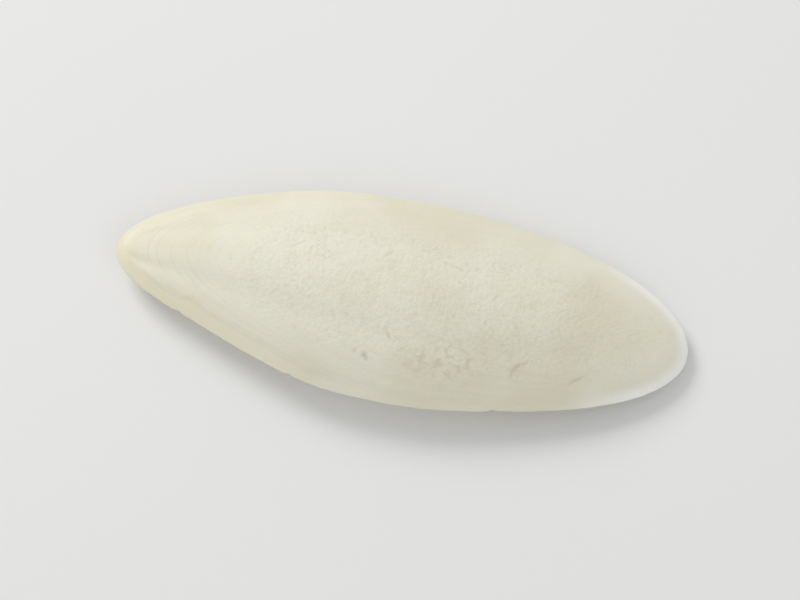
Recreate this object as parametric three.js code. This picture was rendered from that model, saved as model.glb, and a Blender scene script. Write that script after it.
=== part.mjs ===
// A cuttlebone, the chalky inner shell of a cuttlefish, lying belly down with its hard shield up.
// Units are millimetres and +Z is up. The pinched front end points to -X and the blunt hind end to +X.
// The origin is on the surface that the bone lies on, under the middle of its length and width.
import * as THREE from "three";
import { ParametricGeometry } from "three/addons/geometries/ParametricGeometry.js";
import { mergeGeometries, mergeVertices } from "three/addons/utils/BufferGeometryUtils.js";

const { clamp, smoothstep } = THREE.MathUtils;

// The whole bone. Places along it are shares of the length, from 0 at the front tip to 1 at the hind tip.
const LENGTH = 200;
const WIDTH = 73;
const SNOUT = { from: 0.04, to: 0.42, pinch: 0.205 }; // the front end, narrower than an ellipse
const TAIL = { from: 0.55, to: 0.72, pinch: 0.03 };
const SWAYS = [
  { at: 0.16, spread: 0.14, aside: 0.9 }, // the bone grew a little crooked
  { at: 0.5, spread: 0.24, aside: -1.8 },
];

// The margin all round, which sinks from its highest place to both tips
const MARGIN = { height: 11.5, highest: 0.45, frontDroop: 3.6, hindDroop: 7.4, thickness: 1.1 };

// The shield on top
const CROWN = { height: 12.2, roundness: 0.8 }; // the arch above the margin
const SHELL_THICKNESS = 2.4; // of the shield alone, in the hollow under the hind end
const BORDER = { share: 0.1, step: 0.4 }; // the smooth horny border, a step lower than the shield
const FURROWS = { at: 0.42, spread: 0.15, depth: 0.5 }; // one on each side of a faint middle rib
const GROWTH_STEPS = { count: 11, height: 0.3, fadeFrom: 0.7, fadeTo: 0.9 };

// The chalky belly underneath
const REST = { from: 0.25, to: 0.52, worn: 0.5 }; // where the belly is rubbed flat and carries the bone
const BELLY = { frontRise: 8.6, frontCurve: 1.7, hindRise: 9.4, hindCurve: 1.4, fullness: 2.6, flank: 0.8 };
const TONGUE = { share: 0.92, from: 0.48, end: 0.95, curve: 2.2 }; // its plan, closing behind as a tongue
const BANDS = { from: 0.4, ramp: 0.08, pitch: 6.5, height: 0.22, bow: 15 }; // ledges behind the last chamber
const GROOVE = { spread: 0.16, depth: 0.9 }; // along the middle of the banded zone
const LIP = { from: 0.6, to: 0.8, at: 0.9, spread: 0.1, height: 1.1 }; // the fork along the tongue's edges

// Slow unevenness of the grown surfaces, as waves
const LUMPS = [
  { height: 0.16, along: 105, across: 145, start: 0 },
  { height: 0.1, along: 57, across: -70, start: 2 },
  { height: 0.06, along: 190, across: 38, start: 4 },
];

// Grid of the surfaces
const STEPS_ALONG = 96;
const RINGS = 11; // from the spine line out to each margin
const BELLY_RINGS = 8; // of them, the ones on the belly
const OUTERMOST_BELLY_RING = 0.96; // of the way to the margin, where the belly reaches out to the front tip
const SPINE_SHARE = 0.72; // of the length: the line that the rings spread from
const WELD = 1e-3;

// A bell of height 1 around a value.
function bell(value, at, spread) {
  return Math.exp(-(((value - at) / spread) ** 2));
}

// Half the width of the bone: an ellipse, pinched to a snout in front and tapered a little behind.
function halfWidth(along) {
  const ellipse = WIDTH * Math.sqrt(Math.max(along * (1 - along), 0));
  const snout = 1 - SNOUT.pinch * (1 - smoothstep(along, SNOUT.from, SNOUT.to));
  const tail = 1 - TAIL.pinch * smoothstep(along, TAIL.from, TAIL.to);
  return ellipse * snout * tail;
}

// How far the middle line lies aside of a straight one.
function sway(along) {
  return SWAYS.reduce((sum, { at, spread, aside }) => sum + aside * bell(along, at, spread), 0);
}

function lumps(x, y) {
  const wave = ({ height, along, across, start }) =>
    height * Math.sin(2 * Math.PI * (x / along + y / across) + start);
  return LUMPS.reduce((sum, lump) => sum + wave(lump), 0);
}

// Height of the margin's mid-thickness: a parabola from its highest place to each tip.
function marginHeight(along) {
  const { height, highest, frontDroop, hindDroop } = MARGIN;
  const inFront = along < highest;
  const away = (along - highest) / (inFront ? highest : 1 - highest);
  return height - (inFront ? frontDroop : hindDroop) * away ** 2;
}

// The plain arch of the shield, across from -1 to 1 between the margins.
function archHeight(along, across) {
  const length = (4 * along * (1 - along)) ** CROWN.roundness;
  return marginHeight(along) + CROWN.height * length * (1 - across ** 2);
}

// The value between two others from which a condition holds, found by halving.
function threshold(low, high, holds) {
  while (high - low > WELD) {
    const middle = (low + high) / 2;
    if (holds(middle)) high = middle;
    else low = middle;
  }
  return high;
}

// The share of its full size at which the growing bone's edge lay here.
// It grew by larger and larger copies of its outline, which all touch at the hind tip.
function growthStage(along, offset) {
  return threshold(1 - along, 1, (size) => size * halfWidth(1 - (1 - along) / size) > offset);
}

// One side of the straightened outline, from the front tip to the hind tip.
class HalfOutline extends THREE.Curve {
  getPoint(u, target = new THREE.Vector3()) {
    const along = (1 - Math.cos(Math.PI * u)) / 2;
    return target.set((along - 0.5) * LENGTH, halfWidth(along), 0);
  }
}
const outline = new HalfOutline();
outline.arcLengthDivisions = 20 * STEPS_ALONG;

// A place in the plan, on the left (1) or right (-1) side: u runs along the outline, and edge grows from 0
// on the spine line to 1 at the margin. offset is the distance from the middle line, and across its share.
function place(u, side, edge) {
  const rim = outline.getPointAt(u);
  const x = rim.x * (SPINE_SHARE + (1 - SPINE_SHARE) * edge);
  const along = clamp(x / LENGTH + 0.5, 0, 1);
  const offset = rim.y * edge;
  const half = halfWidth(along);
  const across = half > WELD ? clamp(offset / half, 0, 1) : 0;
  return { x, y: sway(along) + side * offset, along, across, edge, offset };
}

// The share of the half width that the belly takes up.
function bellyShare(along) {
  const closing = clamp((along - TONGUE.from) / (TONGUE.end - TONGUE.from), 0, 1);
  return TONGUE.share * Math.sqrt(1 - closing ** TONGUE.curve);
}

// How far out a ring of the shield lies: they crowd towards the margin.
function shieldRing(u, ring) {
  return Math.sin((Math.PI / 2) * (ring / RINGS));
}

// How far out a ring of the underside lies: they crowd towards the belly's edge, which one of them follows.
function undersideRing(u, ring) {
  const bellyEdge = threshold(0, OUTERMOST_BELLY_RING, (edge) => {
    const { along, across } = place(u, 1, edge);
    return across >= bellyShare(along);
  });
  if (ring <= BELLY_RINGS) return bellyEdge * Math.sin((Math.PI / 2) * (ring / BELLY_RINGS));
  return bellyEdge + ((1 - bellyEdge) * (ring - BELLY_RINGS)) / (RINGS - BELLY_RINGS);
}

// The shield: the arch with furrows, lumps and growth steps, which all end at the smooth border.
function shieldHeight({ x, y, along, across, edge, offset }) {
  const inside = 1 - smoothstep(edge, 1 - 1.5 * BORDER.share, 1 - BORDER.share);
  const furrow = FURROWS.depth * bell(across, FURROWS.at, FURROWS.spread);
  const fade = 1 - smoothstep(along, GROWTH_STEPS.fadeFrom, GROWTH_STEPS.fadeTo);
  const step = GROWTH_STEPS.height * fade * ((GROWTH_STEPS.count * growthStage(along, offset)) % 1);
  const relief = BORDER.step + lumps(x, y) + step - furrow;
  return archHeight(along, across) + MARGIN.thickness / 2 + relief * inside;
}

// The belly's middle line: level where it carries the bone, and rising to both ends.
function bellyLine(along) {
  const front = Math.max(REST.from - along, 0) / REST.from;
  const hind = Math.max(along - REST.to, 0) / (1 - REST.to);
  return BELLY.frontRise * front ** BELLY.frontCurve + BELLY.hindRise * hind ** BELLY.hindCurve - REST.worn;
}

// The underside: the shield's thin shell, the chalky belly that bulges out of it, and the flat on the belly.
function undersideHeight(p) {
  const { x, y, along, across } = p;
  const thickening = (SHELL_THICKNESS - MARGIN.thickness) * (1 - across ** 2);
  const shell = shieldHeight(p) - MARGIN.thickness - thickening;

  const share = bellyShare(along);
  const out = share > 0 ? Math.min(across / share, 1) : 1;
  const bulge = (1 - out ** BELLY.fullness) ** BELLY.flank;
  const foot = archHeight(along, share) - SHELL_THICKNESS / 2;

  const banded = smoothstep(along, BANDS.from, BANDS.from + BANDS.ramp) * bulge;
  const band = BANDS.height * Math.sin((2 * Math.PI * (x + BANDS.bow * (1 - out ** 2))) / BANDS.pitch);
  const groove = GROOVE.depth * bell(across, 0, GROOVE.spread);
  const lip = LIP.height * bell(out, LIP.at, LIP.spread) * smoothstep(along, LIP.from, LIP.to);
  const smooth = foot + (bellyLine(along) - foot) * bulge + lumps(y, x) * bulge;
  const chalk = smooth + (band + groove) * banded - lip;
  return Math.max(Math.min(chalk, shell), 0);
}

// The upper or the lower surface. v runs across it from one margin to the other.
function surface(height, ringEdge, facesUp) {
  const put = (u, v, target) => {
    const fromMiddle = (facesUp ? 1 : -1) * (2 * v - 1);
    const ring = Math.round(RINGS * Math.abs(fromMiddle));
    const p = place(u, Math.sign(fromMiddle), ringEdge(u, ring));
    target.set(p.x, p.y, height(p));
  };
  return new ParametricGeometry(put, STEPS_ALONG, 2 * RINGS);
}

// The blunt edge between the two surfaces, out along one side and back along the other.
function marginWall() {
  const put = (u, v, target) => {
    const outward = u < 0.5;
    const p = place(outward ? 2 * u : 2 - 2 * u, outward ? 1 : -1, 1);
    target.set(p.x, p.y, v < 0.5 ? shieldHeight(p) : undersideHeight(p));
  };
  return new ParametricGeometry(put, 2 * STEPS_ALONG, 1);
}

function cuttleboneGeometry() {
  const faces = [
    surface(shieldHeight, shieldRing, true),
    surface(undersideHeight, undersideRing, false),
    marginWall(),
  ];
  for (const face of faces) {
    face.deleteAttribute("normal");
    face.deleteAttribute("uv");
  }
  const whole = mergeVertices(mergeGeometries(faces), WELD);
  whole.computeBoundingBox();
  const middle = whole.boundingBox.getCenter(new THREE.Vector3());
  whole.translate(0, -middle.y, 0);
  whole.computeVertexNormals();
  return whole;
}

const cuttlebone = new THREE.Mesh(
  cuttleboneGeometry(),
  new THREE.MeshStandardMaterial({ color: 0xe8e2d0, roughness: 0.85, metalness: 0 }),
);
cuttlebone.name = "cuttlebone";

const part = new THREE.Group();
part.add(cuttlebone);
export default part;
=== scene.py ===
"""A dried cuttlebone lying belly down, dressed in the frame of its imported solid.

The bone is one closed skin made of three grids: the arched shield on top, the blunt margin round it, and
the underside with its chalky belly. Every height is a formula of the place in the bone's plan, worked out
with numpy as whole arrays, and the same fields that raise the skin also tint it. Units are metres and +Z
is up. The pinched front end points to -X and the blunt hind end to +X. Shares along the bone run from 0 at
the front tip to 1 at the hind tip, and shares across it from 0 on its middle line to 1 at the margin.
"""

import logging
from dataclasses import dataclass, field
from enum import Enum
from typing import Optional, Union

import bpy
import numpy as np
import numpy.typing as npt
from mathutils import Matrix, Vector


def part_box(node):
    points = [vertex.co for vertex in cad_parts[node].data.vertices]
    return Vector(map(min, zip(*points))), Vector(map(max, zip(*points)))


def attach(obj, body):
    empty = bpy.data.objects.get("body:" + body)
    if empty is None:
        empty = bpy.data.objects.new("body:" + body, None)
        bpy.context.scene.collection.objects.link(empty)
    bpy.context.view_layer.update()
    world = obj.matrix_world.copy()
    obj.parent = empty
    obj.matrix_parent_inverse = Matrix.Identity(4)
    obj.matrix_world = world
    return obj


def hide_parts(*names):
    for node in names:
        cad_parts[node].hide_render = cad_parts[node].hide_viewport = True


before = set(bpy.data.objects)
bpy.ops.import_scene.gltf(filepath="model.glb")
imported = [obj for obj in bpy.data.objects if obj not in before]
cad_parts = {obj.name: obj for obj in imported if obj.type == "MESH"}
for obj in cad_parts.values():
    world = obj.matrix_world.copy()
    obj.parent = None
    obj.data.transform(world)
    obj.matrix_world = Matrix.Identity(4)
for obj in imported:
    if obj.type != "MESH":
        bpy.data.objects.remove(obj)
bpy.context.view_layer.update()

MM = 0.001
TINY = 1e-6
NODE = "cuttlebone"
BODY = "root"

LOG = logging.getLogger("cuttlebone")
Array = npt.NDArray[np.float64]
Colour = tuple[float, float, float, float]
Socket = bpy.types.NodeSocket
Value = Union[Socket, float]


def ease(value: Array, low: float, high: float) -> Array:
    """Rise smoothly from 0 at low to 1 at high, by 3q² - 2q³ of the clamped share q of the way."""
    share = np.clip((value - low) / (high - low), 0.0, 1.0)
    return share * share * (3.0 - 2.0 * share)


def bell(value: Array, at: float, spread: float) -> Array:
    """A bell of height 1 around a value: e to the minus square of the distance in spreads."""
    return np.exp(-(((value - at) / spread) ** 2))


def srgb(red: int, green: int, blue: int) -> Colour:
    """Turn a screen colour of 0 to 255 into the linear colour that shaders take.

    Args:
        red: Red on the screen.
        green: Green on the screen.
        blue: Blue on the screen.

    Returns:
        Linear red, green and blue, with an alpha of 1.
    """
    screen = np.array([red, green, blue]) / 255.0
    linear = np.where(screen <= 0.04045, screen / 12.92, ((screen + 0.055) / 1.055) ** 2.4)
    return (float(linear[0]), float(linear[1]), float(linear[2]), 1.0)


@dataclass(frozen=True)
class Span:
    """A range of values over which something changes smoothly."""

    start: float
    stop: float

    def rise(self, value: Array) -> Array:
        """Rise from 0 at the start to 1 at the stop."""
        return ease(value, self.start, self.stop)

    def fall(self, value: Array) -> Array:
        """Fall from 1 at the start to 0 at the stop."""
        return 1.0 - ease(value, self.start, self.stop)


class RandomField:
    """A smooth random field over the plane: seeded slopes on a square lattice, eased between its points."""

    LATTICE = 128

    def __init__(self, seed: int) -> None:
        """Draw the slopes.

        Args:
            seed: Number that fixes the field, so that each run gives the same one.
        """
        angle = np.random.default_rng(seed).uniform(0.0, 2.0 * np.pi, (self.LATTICE, self.LATTICE))
        self.slope_x = np.cos(angle)
        self.slope_y = np.sin(angle)

    def at(self, x: Array, y: Array, size: float) -> Array:
        """Read the field: each lattice point's slope gives a plane, and the four planes around are blended.

        The root of 2 stretches the blend to its full range.

        Args:
            x: Places along X.
            y: Places along Y.
            size: Size of the lattice's squares.

        Returns:
            Values from about -1 to 1, in the shape of x.
        """
        across, up = x / size, y / size
        column, row = np.floor(across).astype(int), np.floor(up).astype(int)
        across, up = across - column, up - row

        def plane(right: int, above: int) -> Array:
            """Height of the plane of the lattice point so many squares right and above."""
            at = ((column + right) % self.LATTICE, (row + above) % self.LATTICE)
            return self.slope_x[at] * (across - right) + self.slope_y[at] * (up - above)

        blend = ease(across, 0.0, 1.0)
        lower = plane(0, 0) * (1.0 - blend) + plane(1, 0) * blend
        upper = plane(0, 1) * (1.0 - blend) + plane(1, 1) * blend
        return np.sqrt(2.0) * (lower + (upper - lower) * ease(up, 0.0, 1.0))

    def rough(self, x: Array, y: Array, size: float, layers: int = 3) -> Array:
        """Mean of the field at sizes that halve from layer to layer, and so do their weights."""
        halvings = 0.5 ** np.arange(layers)
        return sum(h * self.at(x + size / h, y - size / h, size * h) for h in halvings) / halvings.sum()


@dataclass(frozen=True)
class Crook:
    """A sideways bend of the middle line around one place along the bone."""

    at: float
    spread: float
    aside: float


@dataclass(frozen=True)
class Mark:
    """A round mark of age: its place along and across, its reach, and its depth if it is dug in."""

    along: float
    across: float
    reach: float
    depth: float = 0.0


@dataclass(frozen=True)
class Scratch:
    """A hairline scratch: where it starts along and across, its run, heading in degrees and depth."""

    along: float
    across: float
    run: float
    heading: float
    depth: float


@dataclass(frozen=True)
class Plan:
    """Places of a grid in the bone's plan, each field an array of the grid's shape.

    along and across are shares, offset is the distance from the middle line, and inset the distance
    from the margin, measured along the grid's row.
    """

    x: Array
    y: Array
    along: Array
    across: Array
    offset: Array
    inset: Array


@dataclass(frozen=True)
class Outline:
    """The bone's plan: an ellipse pinched to a snout in front, tapered behind and slightly crooked."""

    length: float
    width: float
    snout: Span = Span(0.04, 0.42)
    snout_pinch: float = 0.205
    tail: Span = Span(0.55, 0.72)
    tail_pinch: float = 0.03
    crooks: tuple[Crook, ...] = (Crook(0.16, 0.14, 0.9 * MM), Crook(0.5, 0.24, -1.8 * MM))
    spine_share: float = 0.72
    bow_grows: Span = Span(0.0, 0.35)
    bow_shrinks: Span = Span(0.5, 0.8)
    wobble: float = 0.22 * MM
    wobble_mean: float = 0.6
    wobble_size: float = 9.0 * MM
    nicks: tuple[Mark, ...] = (
        Mark(0.13, -1.0, 1.3 * MM, 0.5 * MM),
        Mark(0.245, 1.0, 1.8 * MM, 0.45 * MM),
        Mark(0.34, -1.0, 1.1 * MM, 0.4 * MM),
        Mark(0.69, -1.0, 1.5 * MM, 0.5 * MM),
        Mark(0.8, 1.0, 1.2 * MM, 0.4 * MM),
    )
    least_half_width: float = 0.1 * MM
    samples: int = 20000
    halvings: int = 30
    seed: int = 11

    def half_width(self, along: Array) -> Array:
        """Half the width: half an ellipse, less the pinches.

        Args:
            along: Shares of the length.

        Returns:
            Half widths.
        """
        ellipse = self.width * np.sqrt(np.clip(along * (1.0 - along), 0.0, None))
        snout = 1.0 - self.snout_pinch * self.snout.fall(along)
        tail = 1.0 - self.tail_pinch * self.tail.rise(along)
        return ellipse * snout * tail

    def middle_line(self, along: Array) -> Array:
        """How far the middle line lies aside: a sum of bells."""
        return sum(crook.aside * bell(along, crook.at, crook.spread) for crook in self.crooks)

    def rim(self, steps: int) -> tuple[Array, Array]:
        """One side of the straightened outline, at equal distances from the front tip to the hind tip.

        Args:
            steps: Number of steps.

        Returns:
            Places along X and half widths there, as two arrays.
        """
        along = (1.0 - np.cos(np.linspace(0.0, np.pi, self.samples))) / 2.0
        x, half = (along - 0.5) * self.length, self.half_width(along)
        run = np.concatenate([[0.0], np.cumsum(np.hypot(np.diff(x), np.diff(half)))])
        even = np.linspace(0.0, run[-1], steps + 1)
        return np.interp(even, run, x), np.interp(even, run, half)

    def spot(self, along: float, across: float) -> tuple[float, float]:
        """Place in the straightened plan of a spot given by its shares along and across."""
        return (along - 0.5) * self.length, across * float(self.half_width(np.array(along)))

    def wear(self, x: Array, y: Array) -> Array:
        """How much is rubbed off the rim: a little all round, unevenly, and a bell at each nick.

        Args:
            x: Places of the rim along the straightened outline.
            y: Places of the rim across it.

        Returns:
            Depths.
        """
        worn = self.wobble * (self.wobble_mean - RandomField(self.seed).rough(x, y, self.wobble_size))
        for nick in self.nicks:
            nick_x, nick_y = self.spot(nick.along, nick.across)
            worn = worn + nick.depth * bell(np.hypot(x - nick_x, y - nick_y), 0.0, nick.reach)
        return worn

    def plan(self, rows: int, side: Array, edge: Array, bow: float = 0.0, power: float = 1.0) -> Plan:
        """Places of a grid: each row runs from the spine line, shorter than the bone, out to the worn rim.

        A row leans from the spine line's share of the length to the rim's by a power of how far out it is:
        straight by the first power, and as a parabola by the second. A bow pushes its middle forwards as
        another parabola, which shrinks towards both ends of the bone.

        Args:
            rows: Number of steps along the rim.
            side: 1 for columns on the left of the middle line and -1 for those on the right.
            edge: How far out each place is, from 0 on the spine line to 1 at the margin, rows by columns.
            bow: How far the rows bulge in the middle of the bone.
            power: Power by which they lean.

        Returns:
            The places.
        """
        x_rim, y_rim = (values[:, np.newaxis] for values in self.rim(rows))
        reach = np.hypot((1.0 - self.spine_share) * x_rim, y_rim)
        worn = 1.0 - self.wear(x_rim + 0.0 * side, side * y_rim) / reach
        rim_along = x_rim / self.length + 0.5
        bulge = bow * self.bow_grows.rise(rim_along) * self.bow_shrinks.fall(rim_along)

        x_end = x_rim * (self.spine_share + (1.0 - self.spine_share) * worn)
        lean = (x_end - self.spine_share * x_rim) * (1.0 - edge**power)
        x = x_end - lean - bulge * (1.0 - edge**2)
        offset = y_rim * worn * edge
        along = np.clip(x / self.length + 0.5, 0.0, 1.0)
        half = np.maximum(self.half_width(along), self.least_half_width)
        across = np.clip(offset / half, 0.0, 1.0)
        y = self.middle_line(along) + side * offset
        return Plan(x, y, along, across, offset, np.hypot(x_end - x, y_rim * worn - offset))

    def growth_stage(self, plan: Plan) -> Array:
        """Share of its full size at which the growing bone's edge lay at each place, found by halving.

        It grew by larger and larger copies of its outline, which all touch at the hind tip.

        Args:
            plan: The places.

        Returns:
            Shares from 0 to 1.
        """
        small, large = np.clip(1.0 - plan.along, TINY, 1.0), np.ones_like(plan.along)
        for _ in range(self.halvings):
            middle = (small + large) / 2.0
            reaches = middle * self.half_width(1.0 - (1.0 - plan.along) / middle) > plan.offset
            large = np.where(reaches, middle, large)
            small = np.where(reaches, small, middle)
        return large


@dataclass(frozen=True)
class Border:
    """The smooth horny border of the shield, which narrows behind and lies a step lower than the grain."""

    width_front: float = 4.4 * MM
    width_hind: float = 2.2 * MM
    narrows: Span = Span(0.3, 0.8)
    waviness: float = 0.5
    wave_size: float = 16.0 * MM
    ramp: float = 2.8 * MM
    step_front: float = 0.32 * MM
    step_hind: float = 0.12 * MM
    lowers: Span = Span(0.35, 0.8)
    seed: int = 23

    def share(self, plan: Plan) -> Array:
        """How horny each place is: 1 in a band along the margin, which eases to 0 at its wavy inner edge.

        Args:
            plan: The places.

        Returns:
            Shares from 0 to 1.
        """
        wave = RandomField(self.seed).rough(plan.x, plan.y, self.wave_size)
        width = self.width_front + (self.width_hind - self.width_front) * self.narrows.rise(plan.along)
        inner = width * (1.0 + self.waviness * wave)
        return 1.0 - ease((plan.inset - inner) / self.ramp, -0.5, 0.5)

    def step(self, plan: Plan) -> Array:
        """How far the shield stands above the border, less behind than in front."""
        return self.step_front + (self.step_hind - self.step_front) * self.lowers.rise(plan.along)


@dataclass(frozen=True)
class Growth:
    """Growth of the shield: a few low steps and many fine lines, along which the growth stage is even."""

    outline: Outline
    step_count: int = 11
    step_height: float = 0.11 * MM
    step_fall: float = 0.28
    step_drift: float = 0.12
    steps_fade: Span = Span(0.7, 0.9)
    line_count: int = 70
    line_height: float = 0.042 * MM
    line_drift: float = 0.6
    line_shift: float = 1.8
    line_strength: float = 0.6
    line_strength_change: float = 0.9
    line_strength_limits: tuple[float, float] = (0.1, 1.2)
    lines_start: Span = Span(0.0, 1.5 * MM)
    drift_size: float = 12.0 * MM
    shift_size: float = 15.0 * MM
    strength_size: float = 11.0 * MM
    seed: int = 29

    def relief(self, plan: Plan) -> tuple[Array, Array]:
        """Steps, a saw-tooth of the growth stage with a rounded fall, and lines, sines of the stage.

        Both drift a little aside from place to place, and the lines' spacing and strength vary.

        Args:
            plan: The places.

        Returns:
            The steps, from 0 to 1 and fading behind, and the lines, from about -1 to 1.
        """
        stage = self.outline.growth_stage(plan)
        drift = RandomField(self.seed).rough(plan.x, plan.y, self.drift_size)
        phase = np.mod(self.step_count * stage + self.step_drift * drift, 1.0)
        steps = phase * (1.0 - ease(phase, 1.0 - self.step_fall, 1.0)) * self.steps_fade.fall(plan.along)

        run, nought = stage * self.outline.length, np.zeros_like(stage)
        shift = self.line_shift * RandomField(self.seed + 1).rough(run, nought, self.shift_size)
        change = RandomField(self.seed + 2).rough(run, nought, self.strength_size)
        strength = self.line_strength + self.line_strength_change * change
        lines = np.sin(2.0 * np.pi * (self.line_count * stage + shift + self.line_drift * drift))
        return steps, np.clip(strength, *self.line_strength_limits) * lines


@dataclass(frozen=True)
class Grain:
    """Worm-like grains of the shield, coarse in the middle, and weak in front and at the sides."""

    size: float = 2.1 * MM
    height: float = 0.085 * MM
    sharpness: float = 3.0
    worm_share: float = 0.7
    fine_share: float = 0.5
    fine_size: float = 1.26 * MM
    warp: float = 1.0 * MM
    warp_size: float = 5.0 * MM
    grows: Span = Span(0.1, 0.36)
    front_share: float = 0.12
    shrinks: Span = Span(0.72, 0.93)
    hind_loss: float = 0.6
    thins: Span = Span(0.42, 0.85)
    side_loss: float = 0.85
    patch_mean: float = 0.75
    patch_change: float = 0.25
    patch_size: float = 24.0 * MM
    seed: int = 24

    def coarseness(self, plan: Plan) -> Array:
        """How coarse the grain is: a product of its changes along and across the bone, in patches.

        Args:
            plan: The places.

        Returns:
            Shares from 0 to 1.
        """
        patches = RandomField(self.seed).rough(plan.x, plan.y, self.patch_size)
        hind = 1.0 - self.hind_loss * self.shrinks.rise(plan.along)
        lengthwise = self.front_share + (1.0 - self.front_share) * self.grows.rise(plan.along) * hind
        side = 1.0 - self.side_loss * self.thins.rise(plan.across)
        return lengthwise * side * (self.patch_mean + self.patch_change * patches)

    def pattern(self, plan: Plan) -> Array:
        """The grains: ridges where a warped random field is near 0, and fine lumps.

        Args:
            plan: The places.

        Returns:
            Values from about -1 to 1.
        """
        warp = self.warp * RandomField(self.seed + 1).rough(plan.x, plan.y, self.warp_size)
        worms = RandomField(self.seed + 2).at(plan.x + warp, plan.y - warp, self.size)
        fine = RandomField(self.seed + 3).at(plan.x, plan.y, self.fine_size)
        return self.worm_share * (1.0 - self.sharpness * np.abs(worms)) + self.fine_share * fine


@dataclass(frozen=True)
class AgeMarks:
    """Marks of age on the shield: dirty pits, mottled blotches and hairline scratches."""

    outline: Outline
    pits: tuple[Mark, ...] = (
        Mark(0.461, -0.648, 0.75 * MM, 0.2 * MM),
        Mark(0.4655, -0.674, 0.6 * MM, 0.15 * MM),
        Mark(0.444, -0.636, 0.6 * MM, 0.09 * MM),
        Mark(0.31, -0.2, 0.5 * MM, 0.06 * MM),
        Mark(0.62, 0.35, 0.6 * MM, 0.08 * MM),
        Mark(0.71, -0.12, 0.5 * MM, 0.06 * MM),
    )
    blotches: tuple[Mark, ...] = (
        Mark(0.553, -0.6, 4.5 * MM),
        Mark(0.6, -0.585, 6.0 * MM),
        Mark(0.628, -0.575, 5.0 * MM),
        Mark(0.715, -0.6, 3.2 * MM),
    )
    scratches: tuple[Scratch, ...] = (
        Scratch(0.711, -0.585, 5.5 * MM, 30.0, 0.08 * MM),
        Scratch(0.711, -0.585, 3.4 * MM, -97.0, 0.06 * MM),
        Scratch(0.805, -0.73, 7.0 * MM, 36.0, 0.07 * MM),
        Scratch(0.486, -0.36, 5.5 * MM, -57.0, 0.06 * MM),
        Scratch(0.461, 0.29, 4.5 * MM, 46.0, 0.06 * MM),
        Scratch(0.393, -0.32, 4.0 * MM, -56.0, 0.05 * MM),
        Scratch(0.3, 0.22, 7.0 * MM, 38.0, 0.04 * MM),
        Scratch(0.56, 0.36, 8.0 * MM, -14.0, 0.05 * MM),
        Scratch(0.655, 0.02, 6.0 * MM, 66.0, 0.04 * MM),
    )
    scratch_width: float = 0.42 * MM
    dirtiest_pit: float = 0.25 * MM
    dirtiest_scratch: float = 0.08 * MM

    def aside(self, plan: Plan) -> Array:
        """Signed distance from the middle line, to the left."""
        return plan.y - self.outline.middle_line(plan.along)

    def spots(self, plan: Plan, marks: tuple[Mark, ...]) -> Array:
        """Sum of round bells at the marks' places, each as high as its depth, or 1 where it has none.

        Args:
            plan: The places.
            marks: The marks, across from -1 on the right margin to 1 on the left one.

        Returns:
            Heights of the bells.
        """
        total, aside = np.zeros_like(plan.x), self.aside(plan)
        for mark in marks:
            x, y = self.outline.spot(mark.along, mark.across)
            total += (mark.depth or 1.0) * bell(np.hypot(plan.x - x, aside - y), 0.0, mark.reach)
        return total

    def scored(self, plan: Plan) -> Array:
        """Depth of the scratches: a bell of the distance from each one's line, which tapers at its ends.

        Args:
            plan: The places.

        Returns:
            Depths.
        """
        total, aside = np.zeros_like(plan.x), self.aside(plan)
        for scratch in self.scratches:
            x, y = self.outline.spot(scratch.along, scratch.across)
            cos, sin = np.cos(np.radians(scratch.heading)), np.sin(np.radians(scratch.heading))
            run = np.clip((plan.x - x) * cos + (aside - y) * sin, 0.0, scratch.run)
            away = np.hypot(plan.x - x - run * cos, aside - y - run * sin)
            taper = np.sqrt(np.sin(np.pi * run / scratch.run).clip(0.0))
            total = np.maximum(total, scratch.depth * taper * bell(away, 0.0, self.scratch_width))
        return total


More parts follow.
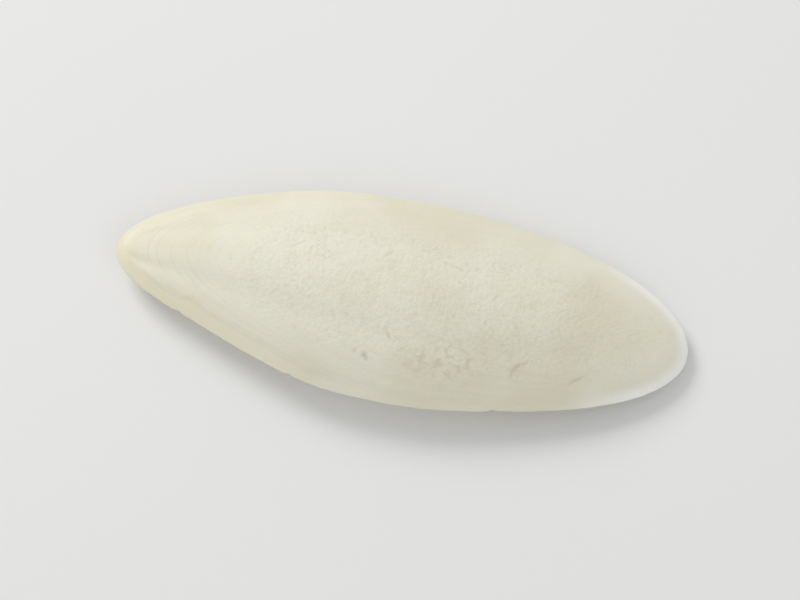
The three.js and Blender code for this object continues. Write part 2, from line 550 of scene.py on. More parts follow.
@dataclass(frozen=True)
class Shield:
    """The hard, granular upper face, arched over the margin, with its border, growth, grain and marks."""

    border: Border
    growth: Growth
    grain: Grain
    marks: AgeMarks
    margin_height: float = 11.5 * MM
    margin_highest: float = 0.45
    front_droop: float = 3.6 * MM
    hind_droop: float = 7.4 * MM
    margin_thickness: float = 1.1 * MM
    crown: float = 12.2 * MM
    roundness: float = 0.8
    furrow_at: float = 0.42
    furrow_spread: float = 0.15
    furrow_depth: float = 0.5 * MM
    furrow_fades: Span = Span(0.7, 0.92)
    lump_size: float = 34.0 * MM
    lump_height: float = 0.3 * MM
    grain_off_lines: float = 0.75
    grain_on_lines: float = 0.35
    lines_lost_in_grain: float = 0.6
    seed: int = 28

    def margin(self, along: Array) -> Array:
        """Height of the margin's mid-thickness: a parabola from its highest place down to each tip.

        Args:
            along: Shares of the length.

        Returns:
            Heights.
        """
        away = along - self.margin_highest
        front = self.front_droop * (away / self.margin_highest) ** 2
        hind = self.hind_droop * (away / (1.0 - self.margin_highest)) ** 2
        return self.margin_height - np.where(away < 0.0, front, hind)

    def arch(self, along: Array, across: Array) -> Array:
        """Plain arch over the margin: a parabola across, and a power of a parabola along."""
        lengthwise = np.clip(4.0 * along * (1.0 - along), 0.0, 1.0) ** self.roundness
        return self.margin(along) + self.crown * lengthwise * (1.0 - across**2)

    def height(self, plan: Plan) -> Array:
        """Height of the shield: the arch, half the margin's thickness, and relief that ends at the border.

        The relief is a step up from the border, two furrows, low lumps, saw-tooth growth steps, worm-like
        grains in rows along the growth lines, a few pits and some scratches. The fine growth lines go
        on over the border.

        Args:
            plan: The places.

        Returns:
            Heights.
        """
        steps, lines = self.growth.relief(plan)
        coarseness = self.grain.coarseness(plan)
        lumps = RandomField(self.seed).rough(plan.x, plan.y, self.lump_size)
        furrow = self.furrow_depth * bell(plan.across, self.furrow_at, self.furrow_spread)
        rows = self.grain_off_lines + self.grain_on_lines * lines
        relief = (
            self.border.step(plan)
            - furrow * self.furrow_fades.fall(plan.along)
            + self.lump_height * lumps
            + self.growth.step_height * steps
            + self.grain.height * coarseness * self.grain.pattern(plan) * rows
            - self.marks.spots(plan, self.marks.pits)
            - self.marks.scored(plan)
        )
        inside = 1.0 - self.border.share(plan)
        shallow = self.growth.lines_start.rise(plan.inset) * (1.0 - self.lines_lost_in_grain * coarseness)
        fine = self.growth.line_height * lines * shallow
        return self.arch(plan.along, plan.across) + self.margin_thickness / 2.0 + relief * inside + fine


@dataclass(frozen=True)
class Underside:
    """The lower face: a thin bare shell, and the chalky belly that bulges out of it."""

    shield: Shield
    shell_thickness: float = 2.4 * MM
    rest: Span = Span(0.25, 0.52)
    worn: float = 0.5 * MM
    front_rise: float = 8.6 * MM
    front_curve: float = 1.7
    hind_rise: float = 9.4 * MM
    hind_curve: float = 1.4
    fullness: float = 2.6
    flank: float = 0.8
    tongue_share: float = 0.92
    tongue: Span = Span(0.48, 0.95)
    tongue_curve: float = 2.2
    bands_start: Span = Span(0.4, 0.48)
    band_pitch: float = 6.5 * MM
    band_height: float = 0.16 * MM
    band_bow: float = 15.0 * MM
    ledge_pitch: float = 1.75 * MM
    ledge_height: float = 0.16 * MM
    ledge_wave: float = 1.2 * MM
    ledge_wave_size: float = 9.0 * MM
    ledge_lip: float = 0.12
    ledge_lip_lag: float = 0.8
    ledges_fade: Span = Span(0.86, 0.94)
    groove_spread: float = 0.16
    groove_depth: float = 0.9 * MM
    lip_grows: Span = Span(0.6, 0.8)
    lip_at: float = 0.9
    lip_spread: float = 0.1
    lip_height: float = 1.1 * MM
    lump_size: float = 30.0 * MM
    lump_height: float = 0.25 * MM
    seed: int = 47

    def share(self, along: Array) -> Array:
        """Share of the half width that the belly takes up, which closes behind as a tongue."""
        closing = np.clip((along - self.tongue.start) / (self.tongue.stop - self.tongue.start), 0.0, 1.0)
        return self.tongue_share * np.sqrt(1.0 - closing**self.tongue_curve)

    def out(self, plan: Plan) -> Array:
        """How far out on the belly each place is: 0 on its middle line, 1 at its edge and beyond."""
        share = self.share(plan.along)
        return np.where(share > 0.0, np.minimum(plan.across / np.maximum(share, TINY), 1.0), 1.0)

    def middle(self, along: Array) -> Array:
        """Height of the belly's middle line: level where it carries the bone, and rising to both ends.

        Args:
            along: Shares of the length.

        Returns:
            Heights, below 0 where the belly is worn flat.
        """
        front = np.clip(self.rest.start - along, 0.0, None) / self.rest.start
        hind = np.clip(along - self.rest.stop, 0.0, None) / (1.0 - self.rest.stop)
        rise = self.front_rise * front**self.front_curve + self.hind_rise * hind**self.hind_curve
        return rise - self.worn

    def banding(self, plan: Plan) -> Array:
        """Where the belly is banded, from 0 to 1: behind its last chamber, and fading at its edge."""
        return self.bands_start.rise(plan.along) * (1.0 - self.out(plan) ** self.fullness)

    def bowed(self, plan: Plan) -> Array:
        """Place along the bone, bent by a parabola across the belly that shrinks with it, for the bands."""
        narrowing = self.share(plan.along) / self.tongue_share
        return plan.x + self.band_bow * narrowing * (1.0 - self.out(plan) ** 2)

    def ledges(self, plan: Plan) -> Array:
        """Fine growth ledges, bowed and a little wavy: a sine and a weak one of half its pitch.

        Args:
            plan: The places.

        Returns:
            Values from -1 to 1.
        """
        wave = self.ledge_wave * RandomField(self.seed).rough(plan.x, plan.y, self.ledge_wave_size)
        turn = 2.0 * np.pi * (self.bowed(plan) + wave) / self.ledge_pitch
        lip = self.ledge_lip * np.sin(2.0 * turn + self.ledge_lip_lag)
        return self.ledges_fade.fall(plan.along) * ((1.0 - self.ledge_lip) * np.sin(turn) + lip)

    def height(self, plan: Plan) -> Array:
        """Height of the underside: the lower of the shell and the belly, and never under the ground.

        The shell lies under the shield at the margin's thickness, and thicker towards the middle. The belly
        bulges from its foot on the shell down to its middle line, with bands, fine ledges, a groove along
        its middle and a lip along the edges of its tongue.

        Args:
            plan: The places.

        Returns:
            Heights.
        """
        shield = self.shield
        thickening = (self.shell_thickness - shield.margin_thickness) * (1.0 - plan.across**2)
        shell = shield.height(plan) - shield.margin_thickness - thickening

        out = self.out(plan)
        bulge = (1.0 - out**self.fullness) ** self.flank
        foot = shield.arch(plan.along, self.share(plan.along)) - self.shell_thickness / 2.0
        lumps = self.lump_height * RandomField(self.seed + 1).rough(plan.x, plan.y, self.lump_size)
        smooth = foot + (self.middle(plan.along) - foot + lumps) * bulge

        band = self.band_height * np.sin(2.0 * np.pi * self.bowed(plan) / self.band_pitch)
        groove = self.groove_depth * bell(plan.across, 0.0, self.groove_spread)
        ledge = self.ledge_height * self.ledges(plan)
        lip = self.lip_height * bell(out, self.lip_at, self.lip_spread) * self.lip_grows.rise(plan.along)
        chalk = smooth + (band + groove + ledge) * self.banding(plan) - lip
        return np.maximum(np.minimum(chalk, shell), 0.0)


class Face(Enum):
    """The three grids that the bone's skin is made of."""

    SHIELD = 0
    MARGIN = 1
    UNDERSIDE = 2


@dataclass
class SkinGrid:
    """One grid of the skin: points, places on the texture sheet, and fields that the finish reads."""

    points: Array
    sheet: Array
    fields: dict[str, Array]


@dataclass
class Cuttlebone:
    """The whole bone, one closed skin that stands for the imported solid."""

    outline: Outline
    shield: Shield
    underside: Underside
    rows: int = 500
    shield_rings: int = 62
    belly_rings: int = 24
    flange_rings: int = 6
    margin_strips: int = 6
    crowding: float = 0.3
    margin_bulge: float = 0.32 * MM
    outermost_belly_ring: float = 0.96
    underside_power: float = 2.0
    belly_edge: Span = Span(0.96, 1.0)
    front_end: Span = Span(0.05, 0.5)
    stain_thins: Span = Span(-9.0 * MM, 11.0 * MM)
    stain_loss: float = 0.45
    hind_end: Span = Span(0.8, 0.93)
    hind_rim: Span = Span(0.8 * MM, 4.5 * MM)
    sheet_share: float = 0.96
    sheet_margin: float = 3.0 * MM
    weld: float = 1e-6
    halvings: int = 24
    grids: dict[Face, SkinGrid] = field(default_factory=dict)

    def crowd(self, ring: Array) -> Array:
        """Crowd even rings a little outwards, by a blend of the share itself and a quarter of a sine."""
        return ring + self.crowding * (np.sin(np.pi / 2.0 * ring) - ring)

    def shield_plan(self) -> Plan:
        """Places of the shield's grid, whose rings crowd a little towards the margin.

        Returns:
            The places, from the right margin to the left one.
        """
        ring = np.linspace(-1.0, 1.0, 2 * self.shield_rings + 1)[np.newaxis, :]
        edge = self.crowd(np.abs(ring))
        return self.outline.plan(self.rows, np.sign(ring), np.repeat(edge, self.rows + 1, axis=0))

    def underside_plan(self) -> Plan:
        """Places of the underside's grid, whose rows bow with its bands.

        One of its rings follows the belly's edge, found by halving.

        Returns:
            The places, from the left margin to the right one.
        """
        form = (self.underside.band_bow, self.underside_power)
        low = np.zeros((self.rows + 1, 1))
        high = np.full_like(low, self.outermost_belly_ring)
        for _ in range(self.halvings):
            middle = (low + high) / 2.0
            plan = self.outline.plan(self.rows, np.ones((1, 1)), middle, *form)
            beyond = plan.across >= self.underside.share(plan.along)
            high = np.where(beyond, middle, high)
            low = np.where(beyond, low, middle)
        belly = self.crowd(np.linspace(0.0, 1.0, self.belly_rings + 1))[np.newaxis, :]
        flange = np.linspace(0.0, 1.0, self.flange_rings + 1)[np.newaxis, 1:]
        outwards = np.concatenate([high * belly, high + (1.0 - high) * flange], axis=1)
        edge = np.concatenate([outwards[:, :0:-1], outwards], axis=1)
        rings = self.belly_rings + self.flange_rings
        side = -np.sign(np.arange(-rings, rings + 1))[np.newaxis, :]
        return self.outline.plan(self.rows, side, edge, *form)

    def sheet_place(self, x: Array, y: Array, face: Face) -> Array:
        """Place on the texture sheet: the plan seen from above or below, the shield in its upper half.

        Args:
            x: Places along X.
            y: Places along Y.
            face: Which grid the places are on.

        Returns:
            Texture coordinates, with the two numbers last.
        """
        scale = self.sheet_share / self.outline.length
        middle = 0.25 if face is Face.UNDERSIDE else 0.75
        return np.stack([0.5 + x * scale, middle + y * scale], axis=-1)

    def fields_of(self, plan: Plan, face: Face) -> dict[str, Array]:
        """Fields that the finish reads, at each place of a grid. The front's amber is weaker on the left.

        Args:
            plan: The places.
            face: Which grid they are on.

        Returns:
            Arrays by field name.
        """
        below = float(face is Face.UNDERSIDE)
        above = 1.0 - below
        belly = below * self.belly_edge.fall(self.underside.out(plan))
        grain, marks = self.shield.grain, self.shield.marks
        coarseness = grain.coarseness(plan)
        pits, scratches = marks.spots(plan, marks.pits), marks.scored(plan)
        stain = 1.0 - self.stain_loss * self.stain_thins.rise(marks.aside(plan))
        return {
            "border": self.shield.border.share(plan),
            "inset": plan.inset,
            "growth": self.outline.growth_stage(plan),
            "front": self.front_end.fall(plan.along) * stain,
            "hind_rim": self.hind_end.rise(plan.along) * self.hind_rim.fall(plan.inset),
            "grain": coarseness * above,
            # the grain's hollows, which the finish darkens as settled dust and painted shade
            "hollow_dust_and_shade": np.clip(-grain.pattern(plan) * coarseness, 0.0, 1.0) * above,
            "blotch": np.clip(marks.spots(plan, marks.blotches), 0.0, 1.0) * above,
            "speck": np.clip(pits / marks.dirtiest_pit, 0.0, 1.0) * above,
            "scratch": np.clip(scratches / marks.dirtiest_scratch, 0.0, 1.0) * above,
            "belly": belly,
            # the belly's ledges, whose recessed half the finish darkens as painted shade
            "ledge": belly * self.underside.banding(plan) * self.underside.ledges(plan),
        }

    def make_faces(self) -> None:
        """Work out the shield's and the underside's grids, each height from its place in the plan."""
        plans = {Face.SHIELD: self.shield_plan(), Face.UNDERSIDE: self.underside_plan()}
        for face, plan in plans.items():
            relief = self.shield if face is Face.SHIELD else self.underside
            points = np.stack([plan.x, plan.y, relief.height(plan)], axis=-1)
            sheet = self.sheet_place(plan.x, plan.y, face)
            self.grids[face] = SkinGrid(points, sheet, self.fields_of(plan, face))

    def make_margin(self) -> None:
        """Work out the margin: strips from the shield's rim to the underside's, bulging as half a sine."""

        def loop(grid: Array, left: int, right: int) -> Array:
            """Rim of a grid: out along the left column and back along the right one, to where it began."""
            return np.concatenate([grid[:, left], grid[-2::-1, right]])

        top, bottom = self.grids[Face.SHIELD], self.grids[Face.UNDERSIDE]
        upper, lower = loop(top.points, -1, 0), loop(bottom.points, 0, -1)
        before, after = np.roll(upper[:-1], 1, axis=0), np.roll(upper[:-1], -1, axis=0)
        run = np.concatenate([after - before, (after - before)[:1]])
        away = np.stack([-run[:, 1], run[:, 0], np.zeros(len(run))], axis=-1)
        away /= np.linalg.norm(away, axis=1, keepdims=True)

        turn = np.linspace(0.0, np.pi, self.margin_strips + 1)[np.newaxis, :, np.newaxis]
        down = (1.0 - np.cos(turn)) / 2.0
        points = upper[:, np.newaxis] * (1.0 - down) + lower[:, np.newaxis] * down
        points = points + self.margin_bulge * np.sin(turn) * away[:, np.newaxis]
        spread = upper[:, np.newaxis] + self.sheet_margin * turn / np.pi * away[:, np.newaxis]
        sheet = self.sheet_place(spread[..., 0], spread[..., 1], Face.MARGIN)
        fields = {name: loop(values, -1, 0)[:, np.newaxis] for name, values in top.fields.items()}
        fields = {name: np.tile(rim, (1, self.margin_strips + 1)) for name, rim in fields.items()}
        self.grids[Face.MARGIN] = SkinGrid(points, sheet, fields)

    def build(self) -> bpy.types.Object:
        """Join the grids in one mesh: points at the same place become one, and each grid square one face.

        Returns:
            The bone's object, at the origin.
        """
        self.make_faces()
        self.make_margin()
        grids = [self.grids[face] for face in Face]
        points = np.concatenate([grid.points.reshape(-1, 3) for grid in grids])
        points[:, 1] -= (points[:, 1].min() + points[:, 1].max()) / 2.0
        welded = np.round(points / self.weld)
        _, first, same = np.unique(welded, axis=0, return_index=True, return_inverse=True)

        corners, start = [], 0
        for grid in grids:
            rows, columns = grid.points.shape[:2]
            index = start + np.arange(rows * columns).reshape(rows, columns)
            square = [index[:-1, :-1], index[1:, :-1], index[1:, 1:], index[:-1, 1:]]
            corners.append(np.stack(square, axis=-1).reshape(-1, 4))
            start += rows * columns
        squares = np.concatenate(corners)

        mesh = bpy.data.meshes.new(NODE)
        mesh.from_pydata(points[first].tolist(), [], same.reshape(-1)[squares].tolist())
        mesh.polygons.foreach_set("use_smooth", np.ones(len(squares), dtype=bool))
        for name in grids[0].fields:
            values = np.concatenate([grid.fields[name].reshape(-1) for grid in grids])[first]
            mesh.attributes.new(name, "FLOAT", "POINT").data.foreach_set("value", values.astype(np.float32))
        sheet = np.concatenate([grid.sheet.reshape(-1, 2) for grid in grids])[squares.reshape(-1)]
        mesh.uv_layers.new(name="OFBake").data.foreach_set("uv", sheet.reshape(-1).astype(np.float32))
        mesh.update()
        mesh.validate()
        bone = bpy.data.objects.new("bone_skin", mesh)
        bpy.context.scene.collection.objects.link(bone)
        return bone

    def dress(self, bone: bpy.types.Object, finish: "BoneFinish") -> None:
        """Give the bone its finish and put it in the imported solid's place.

        Args:
            bone: The bone's object.
            finish: What it looks like.
        """
        bone.data.materials.append(finish.material())
        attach(bone, BODY)
        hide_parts(NODE)


class Sum(Enum):
    """Ways to put two numbers together in a material."""

    ADD = "ADD"
    TIMES = "MULTIPLY"
    LARGER = "MAXIMUM"


@dataclass(frozen=True)
class Pattern:
    """A random pattern of a material: size, layers, the span it is read over, results and stirring."""

    size: float
    layers: float
    span: Span
    start: float = 0.0
    stop: float = 1.0
    warp: float = 0.0


class NodeSheet:
    """A material's nodes, with a short call for each kind that the finishes are made of."""

    def __init__(self, name: str) -> None:
        """Start a material with a surface shader.

        Args:
            name: Name of the material.
        """
        self.material = bpy.data.materials.new(name)
        self.material.use_nodes = True
        self.tree = self.material.node_tree
        self.shader = self.tree.nodes["Principled BSDF"]
        self.place = self.tree.nodes.new("ShaderNodeTexCoord").outputs["Object"]

    def feed(self, socket: Socket, value: Union[Value, Colour]) -> None:
        """Link a socket to another node's output, or set it where the value is a plain one.

        Args:
            socket: Input to feed.
            value: Output, number or colour.
        """
        if isinstance(value, Socket):
            self.tree.links.new(value, socket)
        else:
            socket.default_value = value

    def field(self, name: str) -> Socket:
        """One of the skin's own fields, read from the mesh by its name.

        Args:
            name: Name of the field.

        Returns:
            Its value.
        """
        node = self.tree.nodes.new("ShaderNodeAttribute")
        node.attribute_name = name
        return node.outputs["Fac"]

    def noise(self, size: float, layers: float, warp: float = 0.0) -> Socket:
        """A random pattern in the piece's own coordinates.

        Args:
            size: Size of its largest spots.
            layers: How many finer patterns are added.
            warp: How much it is stirred.

        Returns:
            Its value, around 0.5.
        """
        node = self.tree.nodes.new("ShaderNodeTexNoise")
        self.tree.links.new(self.place, node.inputs["Vector"])
        node.inputs["Scale"].default_value = 1.0 / size
        node.inputs["Detail"].default_value = layers
        node.inputs["Distortion"].default_value = warp
        return node.outputs["Fac"]

    def pattern(self, pattern: Pattern) -> Socket:
        """A random pattern, mapped from its span to its results."""
        noise = self.noise(pattern.size, pattern.layers, pattern.warp)
        return self.ramp(noise, pattern.span, pattern.start, pattern.stop)

    def strata(self, value: Value, count: float, layers: float) -> Socket:
        """A random pattern of lines along which a field keeps its value.

        Args:
            value: The field, from 0 to 1.
            count: How many lines it crosses on the way.
            layers: How many finer patterns are added.

        Returns:
            Its value, around 0.5.
        """
        node = self.tree.nodes.new("ShaderNodeTexNoise")
        node.noise_dimensions = "1D"
        self.feed(node.inputs["W"], self.combine(Sum.TIMES, value, count))
        node.inputs["Scale"].default_value = 1.0
        node.inputs["Detail"].default_value = layers
        return node.outputs["Fac"]

    def grains(self, spacing: float, smoothness: float, slope: Span) -> Socket:
        """Scattered round grains in the piece's own coordinates.

        Args:
            spacing: Distance between the grains.
            smoothness: How much they run into each other.
            slope: Distances from a grain's middle, in spacings, over which it falls.

        Returns:
            Height of the grains, 0 between them and 1 at their tops.
        """
        node = self.tree.nodes.new("ShaderNodeTexVoronoi")
        node.feature = "SMOOTH_F1"
        self.tree.links.new(self.place, node.inputs["Vector"])
        node.inputs["Scale"].default_value = 1.0 / spacing
        node.inputs["Smoothness"].default_value = smoothness
        return self.ramp(node.outputs["Distance"], slope, 1.0, 0.0)

    def seams(self, pattern: Socket, width: float) -> Socket:
        """Winding lines, where a random pattern is near its middle value.

        Args:
            pattern: The pattern.
            width: Half the lines' width, as a share of the pattern's range.

        Returns:
            1 on the lines and 0 off them.
        """
        rising = self.ramp(pattern, Span(0.5 - width, 0.5))
        falling = self.ramp(pattern, Span(0.5, 0.5 + width), 1.0, 0.0)
        return self.combine(Sum.TIMES, rising, falling)

    def ramp(self, value: Value, span: Span, start: float = 0.0, stop: float = 1.0) -> Socket:
        """Map a value smoothly from a span to a range of results.

        Args:
            value: What to map.
            span: Values that give the first and the last result.
            start: Result at the span's start and outside it.
            stop: Result at the span's stop and outside it.

        Returns:
            The mapped value.
        """
        node = self.tree.nodes.new("ShaderNodeMapRange")
        node.interpolation_type = "SMOOTHSTEP"
        self.feed(node.inputs["Value"], value)
        node.inputs["From Min"].default_value = span.start
        node.inputs["From Max"].default_value = span.stop
        node.inputs["To Min"].default_value = start
        node.inputs["To Max"].default_value = stop
        return node.outputs["Result"]

    def combine(self, how: Sum, first: Value, second: Value) -> Socket:
        """Put two numbers together.

        Args:
            how: What is done with them.
            first: First number.
            second: Second number.

        Returns:
            The result.
        """
        node = self.tree.nodes.new("ShaderNodeMath")
        node.operation = how.value
        self.feed(node.inputs[0], first)
        self.feed(node.inputs[1], second)
        return node.outputs["Value"]

    def blend(self, share: Value, first: Union[Socket, Colour], second: Union[Socket, Colour]) -> Socket:
        """Blend two colours.

        Args:
            share: 0 for the first colour, 1 for the second.
            first: First colour.
            second: Second colour.

        Returns:
            The blended colour.
        """
        node = self.tree.nodes.new("ShaderNodeMix")
        node.data_type = "RGBA"
        colours = [socket for socket in node.inputs if socket.type == "RGBA"]
        self.feed(node.inputs["Factor"], share)
        self.feed(colours[0], first)
        self.feed(colours[1], second)
        return next(socket for socket in node.outputs if socket.type == "RGBA")

    def tint(self, base: Union[Socket, Colour], colour: Colour, share: Value, strength: float) -> Socket:
        """Lay a colour over another, by a share of a strength."""
        return self.blend(self.combine(Sum.TIMES, share, strength), base, colour)

    def bump(self, height: Value, distance: float, under: Optional[Socket] = None) -> Socket:
        """Tilt the surface by a height pattern.

        Args:
            height: The pattern.
            distance: Height of the pattern where it is 1.
            under: Normal of a coarser bump below, if any.

        Returns:
            The tilted normal.
        """
        node = self.tree.nodes.new("ShaderNodeBump")
        node.inputs["Distance"].default_value = distance
        self.feed(node.inputs["Height"], height)
        if under is not None:
            self.feed(node.inputs["Normal"], under)
        return node.outputs["Normal"]


@dataclass(frozen=True)
class BoneFinish:
    """Dried bone: a matt cream shield with worm-like grain, an amber horny border, and a chalky belly."""

    cream: Colour = srgb(237, 235, 218)
    warm: Colour = srgb(228, 224, 200)
    warm_patches: Pattern = Pattern(38.0 * MM, 4.0, Span(0.4, 0.7), 0.0, 0.9)
    # dust colour, laid on as real dust and, in the grain's hollows, as painted shade
    dust_and_shade: Colour = srgb(197, 193, 168)
    growth_lines: float = 130.0
    line_layers: float = 2.0
    line_span: Span = Span(0.5, 0.75)
    line_strength: float = 0.14
    lines_fade: Span = Span(0.1, 0.6)
    lines_in_grain: float = 0.35
    worm_breaks: Pattern = Pattern(6.0 * MM, 3.0, Span(0.46, 0.62), 0.05, 0.46)
    worm_size: float = 1.7 * MM
    worm_layers: float = 2.0
    worm_warp: float = 0.9
    worm_width: float = 0.045
    grain_spacing: float = 1.25 * MM
    grain_smoothness: float = 0.4
    grain_slope: Span = Span(0.1, 0.75)
    grain_grows: Span = Span(0.0, 0.7)
    grain_least: float = 0.1
    grain_height: float = 0.06 * MM
    gap_span: Span = Span(0.0, 0.5)
    gap_strength: float = 0.12
    # how strongly the grain's hollows are darkened, as dust and painted shade
    hollow_dust_and_shade_strength: float = 0.22
    blotch: Colour = srgb(182, 170, 142)
    mottle: Pattern = Pattern(2.6 * MM, 3.0, Span(0.42, 0.7), warp=0.5)
    blotch_strength: float = 0.32
    scratch_strength: float = 0.4
    speck: Colour = srgb(112, 104, 88)
    speck_strength: float = 0.48
    amber: Colour = srgb(239, 234, 210)
    amber_reach: Span = Span(0.0, 11.0 * MM)
    amber_strength: float = 0.62
    amber_drift: Pattern = Pattern(13.0 * MM, 3.0, Span(0.25, 0.75), -4.0 * MM, 4.0 * MM)
    hind_amber: float = 0.12
    horn: Colour = srgb(239, 229, 197)
    olive: Colour = srgb(232, 226, 193)
    olive_patches: Pattern = Pattern(9.0 * MM, 2.0, Span(0.35, 0.7))
    horn_lines: float = 260.0
    horn_line_span: Span = Span(0.3, 0.7)
    horn_line_strength: float = 0.45
    horn_patches: Pattern = Pattern(11.0 * MM, 3.0, Span(0.3, 0.7), 0.28, 0.62)
    rim: Colour = srgb(251, 251, 246)
    rim_strength: float = 0.95
    chalk: Colour = srgb(244, 242, 234)
    stale: Colour = srgb(232, 225, 206)
    stale_patches: Pattern = Pattern(24.0 * MM, 4.0, Span(0.42, 0.75), 0.0, 0.8)
    # painted shade for the recessed half of the belly's ledges
    ledge: Colour = srgb(208, 199, 178)
    ledge_shade_span: Span = Span(-0.1, 1.0)
    ledge_shade_strength: float = 0.85
    pore_size: float = 0.8 * MM
    pore_layers: float = 3.0
    pore_depth: float = 0.05 * MM
    translucency: float = 0.12
    bleed: tuple[float, float, float] = (1.6 * MM, 1.2 * MM, 0.7 * MM)
    shield_roughness: float = 0.6
    horn_roughness: float = 0.38
    chalk_roughness: float = 0.92

    def grains(self, nodes: NodeSheet) -> Socket:
        """Scattered round grains, finer than those of the mesh."""
        return nodes.grains(self.grain_spacing, self.grain_smoothness, self.grain_slope)

    def dusted_and_shaded(self, nodes: NodeSheet) -> Socket:
        """Colour of the clean shield: cream with warm patches, dust in its growth lines and its grain, and
        dust mixed with painted shade in the grain's hollows.

        Args:
            nodes: The material's nodes.

        Returns:
            The colour.
        """
        base = nodes.blend(nodes.pattern(self.warm_patches), self.cream, self.warm)
        grain = nodes.field("grain")
        strata = nodes.strata(nodes.field("growth"), self.growth_lines, self.line_layers)
        lines = nodes.ramp(strata, self.line_span, 0.0, self.line_strength)
        clear = nodes.ramp(grain, self.lines_fade, 1.0, self.lines_in_grain)
        base = nodes.blend(nodes.combine(Sum.TIMES, lines, clear), base, self.dust_and_shade)

        winding = nodes.noise(self.worm_size, self.worm_layers, self.worm_warp)
        seams = nodes.seams(winding, self.worm_width)
        worms = nodes.combine(Sum.TIMES, seams, nodes.pattern(self.worm_breaks))
        gaps = nodes.ramp(self.grains(nodes), self.gap_span, self.gap_strength, 0.0)
        dusty = nodes.combine(Sum.TIMES, nodes.combine(Sum.LARGER, worms, gaps), grain)
        base = nodes.blend(dusty, base, self.dust_and_shade)
        # painted shade and dust in the grain's hollows
        return nodes.tint(base, self.dust_and_shade, nodes.field("hollow_dust_and_shade"), self.hollow_dust_and_shade_strength)

    def aged(self, nodes: NodeSheet, base: Socket) -> Socket:
        """Colour of the shield with its marks of age: mottled blotches, scratches and specks.

        Args:
            nodes: The material's nodes.
            base: Colour of the clean shield.

        Returns:
            The colour.
        """
        blotched = nodes.combine(Sum.TIMES, nodes.field("blotch"), nodes.pattern(self.mottle))
        base = nodes.tint(base, self.blotch, blotched, self.blotch_strength)
        base = nodes.tint(base, self.blotch, nodes.field("scratch"), self.scratch_strength)
        return nodes.tint(base, self.speck, nodes.field("speck"), self.speck_strength)

    def horned(self, nodes: NodeSheet, base: Socket) -> Socket:
        """Colour of the border over the shield's: fading amber, lined horn and a white hind rim.

        Args:
            nodes: The material's nodes.
            base: Colour of the shield.

        Returns:
            The colour.
        """
        front = nodes.ramp(nodes.field("front"), Span(0.0, 1.0), self.hind_amber, 1.0)
        inwards = nodes.combine(Sum.ADD, nodes.field("inset"), nodes.pattern(self.amber_drift))
        fading = nodes.ramp(inwards, self.amber_reach, self.amber_strength, 0.0)
        base = nodes.blend(nodes.combine(Sum.TIMES, fading, front), base, self.amber)

        strata = nodes.strata(nodes.field("growth"), self.horn_lines, self.line_layers)
        horn = nodes.blend(nodes.pattern(self.olive_patches), self.horn, self.olive)
        lines = nodes.ramp(strata, self.horn_line_span)
        horn = nodes.tint(horn, self.amber, lines, self.horn_line_strength)
        bordered = nodes.combine(Sum.TIMES, nodes.field("border"), nodes.pattern(self.horn_patches))
        base = nodes.blend(nodes.combine(Sum.TIMES, bordered, front), base, horn)
        return nodes.tint(base, self.rim, nodes.field("hind_rim"), self.rim_strength)

    def chalky(self, nodes: NodeSheet) -> Socket:
        """Colour of the belly: white chalk with stale patches, and painted shade as darker lines in the
        recesses of its ledges.

        Args:
            nodes: The material's nodes.

        Returns:
            The colour.
        """
        base = nodes.blend(nodes.pattern(self.stale_patches), self.chalk, self.stale)
        # painted shade: darker where the ledges lie recessed
        lines = nodes.ramp(nodes.field("ledge"), self.ledge_shade_span, 0.0, self.ledge_shade_strength)
        return nodes.blend(lines, base, self.ledge)

    def material(self) -> bpy.types.Material:
        """Make the material: its colours, how rough and translucent it is, and its pores and fine grains.

        Returns:
            The material.
        """
        nodes = NodeSheet("dried_bone")
        inputs, whole = nodes.shader.inputs, Span(0.0, 1.0)
        upper = self.horned(nodes, self.aged(nodes, self.dusted_and_shaded(nodes)))
        nodes.feed(inputs["Base Color"], nodes.blend(nodes.field("belly"), upper, self.chalky(nodes)))

        hard = nodes.ramp(nodes.field("border"), whole, self.shield_roughness, self.horn_roughness)
        dry = nodes.ramp(nodes.field("belly"), whole, 0.0, self.chalk_roughness - self.shield_roughness)
        nodes.feed(inputs["Roughness"], nodes.combine(Sum.ADD, hard, dry))
        inputs["Subsurface Weight"].default_value = self.translucency
        inputs["Subsurface Radius"].default_value = self.bleed
        inputs["Subsurface Scale"].default_value = 1.0

        pores = nodes.bump(nodes.noise(self.pore_size, self.pore_layers), self.pore_depth)
        coarse = nodes.ramp(nodes.field("grain"), self.grain_grows, self.grain_least, 1.0)
        grainy = nodes.combine(Sum.TIMES, self.grains(nodes), coarse)
        nodes.feed(inputs["Normal"], nodes.bump(grainy, self.grain_height, pores))
        return nodes.material


@dataclass(frozen=True)
class FloorFinish:
    """Matt pale board with a hardly visible unevenness."""

    light: Colour = srgb(243, 243, 242)
    dark: Colour = srgb(240, 240, 240)
    patch_size: float = 0.25
    patch_layers: float = 2.0
    roughness: float = 0.9

    def material(self) -> bpy.types.Material:
        """Make the material.

        Returns:
            The material.
        """
        nodes = NodeSheet("pale_board")
        patches = nodes.noise(self.patch_size, self.patch_layers)
        nodes.feed(nodes.shader.inputs["Base Color"], nodes.blend(patches, self.light, self.dark))
        nodes.shader.inputs["Roughness"].default_value = self.roughness
        return nodes.material


@dataclass(frozen=True)
class Lamp:
    """A square soft light that faces the bone."""

    name: str
    place: tuple[float, float, float]
    size: float
    watts: float
    tint: tuple[float, float, float]


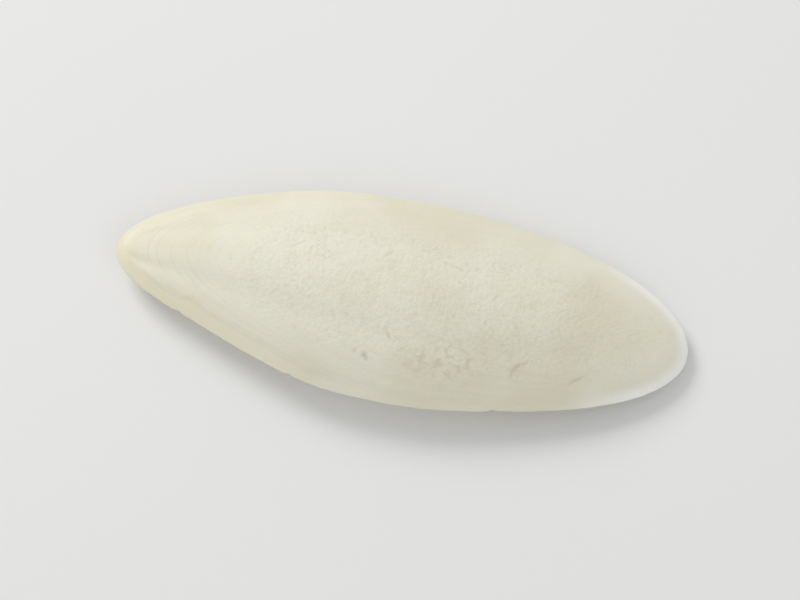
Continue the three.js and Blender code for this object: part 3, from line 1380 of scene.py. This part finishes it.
@dataclass
class Studio:
    """The pale floor, the soft light and the camera, which looks down on the bone."""

    aim: tuple[float, float, float]
    azimuth: float = 11.0
    elevation: float = 72.0
    distance: float = 0.76
    lens: float = 100.0
    floor_reach: float = 3.0
    floor_gap: float = 0.05 * MM
    ambient: float = 0.53
    lamps: tuple[Lamp, ...] = (
        Lamp("softbox", (-1.16, 1.0, 1.12), 0.9, 17.5, (1.0, 0.992, 0.972)),
        Lamp("fill", (1.1, -0.9, 1.2), 1.6, 4.6, (0.97, 0.985, 1.0)),
    )

    def floor(self) -> None:
        """Lay the floor, a square far larger than the view, just under the bone."""
        far = self.floor_reach
        corners = [(x, y, -self.floor_gap) for x, y in ((-far, -far), (far, -far), (far, far), (-far, far))]
        mesh = bpy.data.meshes.new("floor")
        mesh.from_pydata(corners, [], [(0, 1, 2, 3)])
        mesh.materials.append(FloorFinish().material())
        floor = bpy.data.objects.new("floor", mesh)
        bpy.context.scene.collection.objects.link(floor)

    def light(self) -> None:
        """Hang the lamps, each turned to the bone, and set the even light from all round."""
        for lamp in self.lamps:
            data = bpy.data.lights.new(lamp.name, "AREA")
            data.size, data.energy, data.color = lamp.size, lamp.watts, lamp.tint
            light = bpy.data.objects.new(lamp.name, data)
            light.location = lamp.place
            light.rotation_euler = (Vector(self.aim) - light.location).to_track_quat("-Z", "Y").to_euler()
            bpy.context.scene.collection.objects.link(light)
        world = bpy.data.worlds.new("even_light")
        world.use_nodes = True
        background = world.node_tree.nodes["Background"].inputs
        background["Strength"].default_value = self.ambient
        background["Color"].default_value = (1.0, 1.0, 1.0, 1.0)
        bpy.context.scene.world = world

    def camera(self) -> None:
        """Put the camera at its angle and distance from the aim, turned to it."""
        azimuth, elevation = np.radians(self.azimuth), np.radians(self.elevation)
        level = np.cos(elevation)
        towards = Vector((np.sin(azimuth) * level, -np.cos(azimuth) * level, np.sin(elevation)))
        data = bpy.data.cameras.new("camera")
        data.lens = self.lens
        camera = bpy.data.objects.new("camera", data)
        camera.location = Vector(self.aim) + self.distance * towards
        camera.rotation_euler = (-towards).to_track_quat("-Z", "Y").to_euler()
        bpy.context.scene.collection.objects.link(camera)
        bpy.context.scene.camera = camera

    def build(self) -> None:
        """Set up the floor, the light, the camera and the plain view of colours."""
        self.floor()
        self.light()
        self.camera()
        bpy.context.scene.view_settings.view_transform = "Standard"


def main() -> None:
    """Build the bone and the studio."""
    logging.basicConfig(level=logging.INFO, format="%(name)s: %(message)s")
    low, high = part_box(NODE)
    outline = Outline(length=high[0] - low[0], width=high[1] - low[1])
    shield = Shield(Border(), Growth(outline), Grain(), AgeMarks(outline))
    bone = Cuttlebone(outline, shield, Underside(shield))
    skin = bone.build()
    bone.dress(skin, BoneFinish())
    LOG.info("%s: %d faces", skin.name, len(skin.data.polygons))
    Studio(aim=(0.0, 0.0, (low[2] + high[2]) / 2.0)).build()


if __name__ == "__main__":
    main()
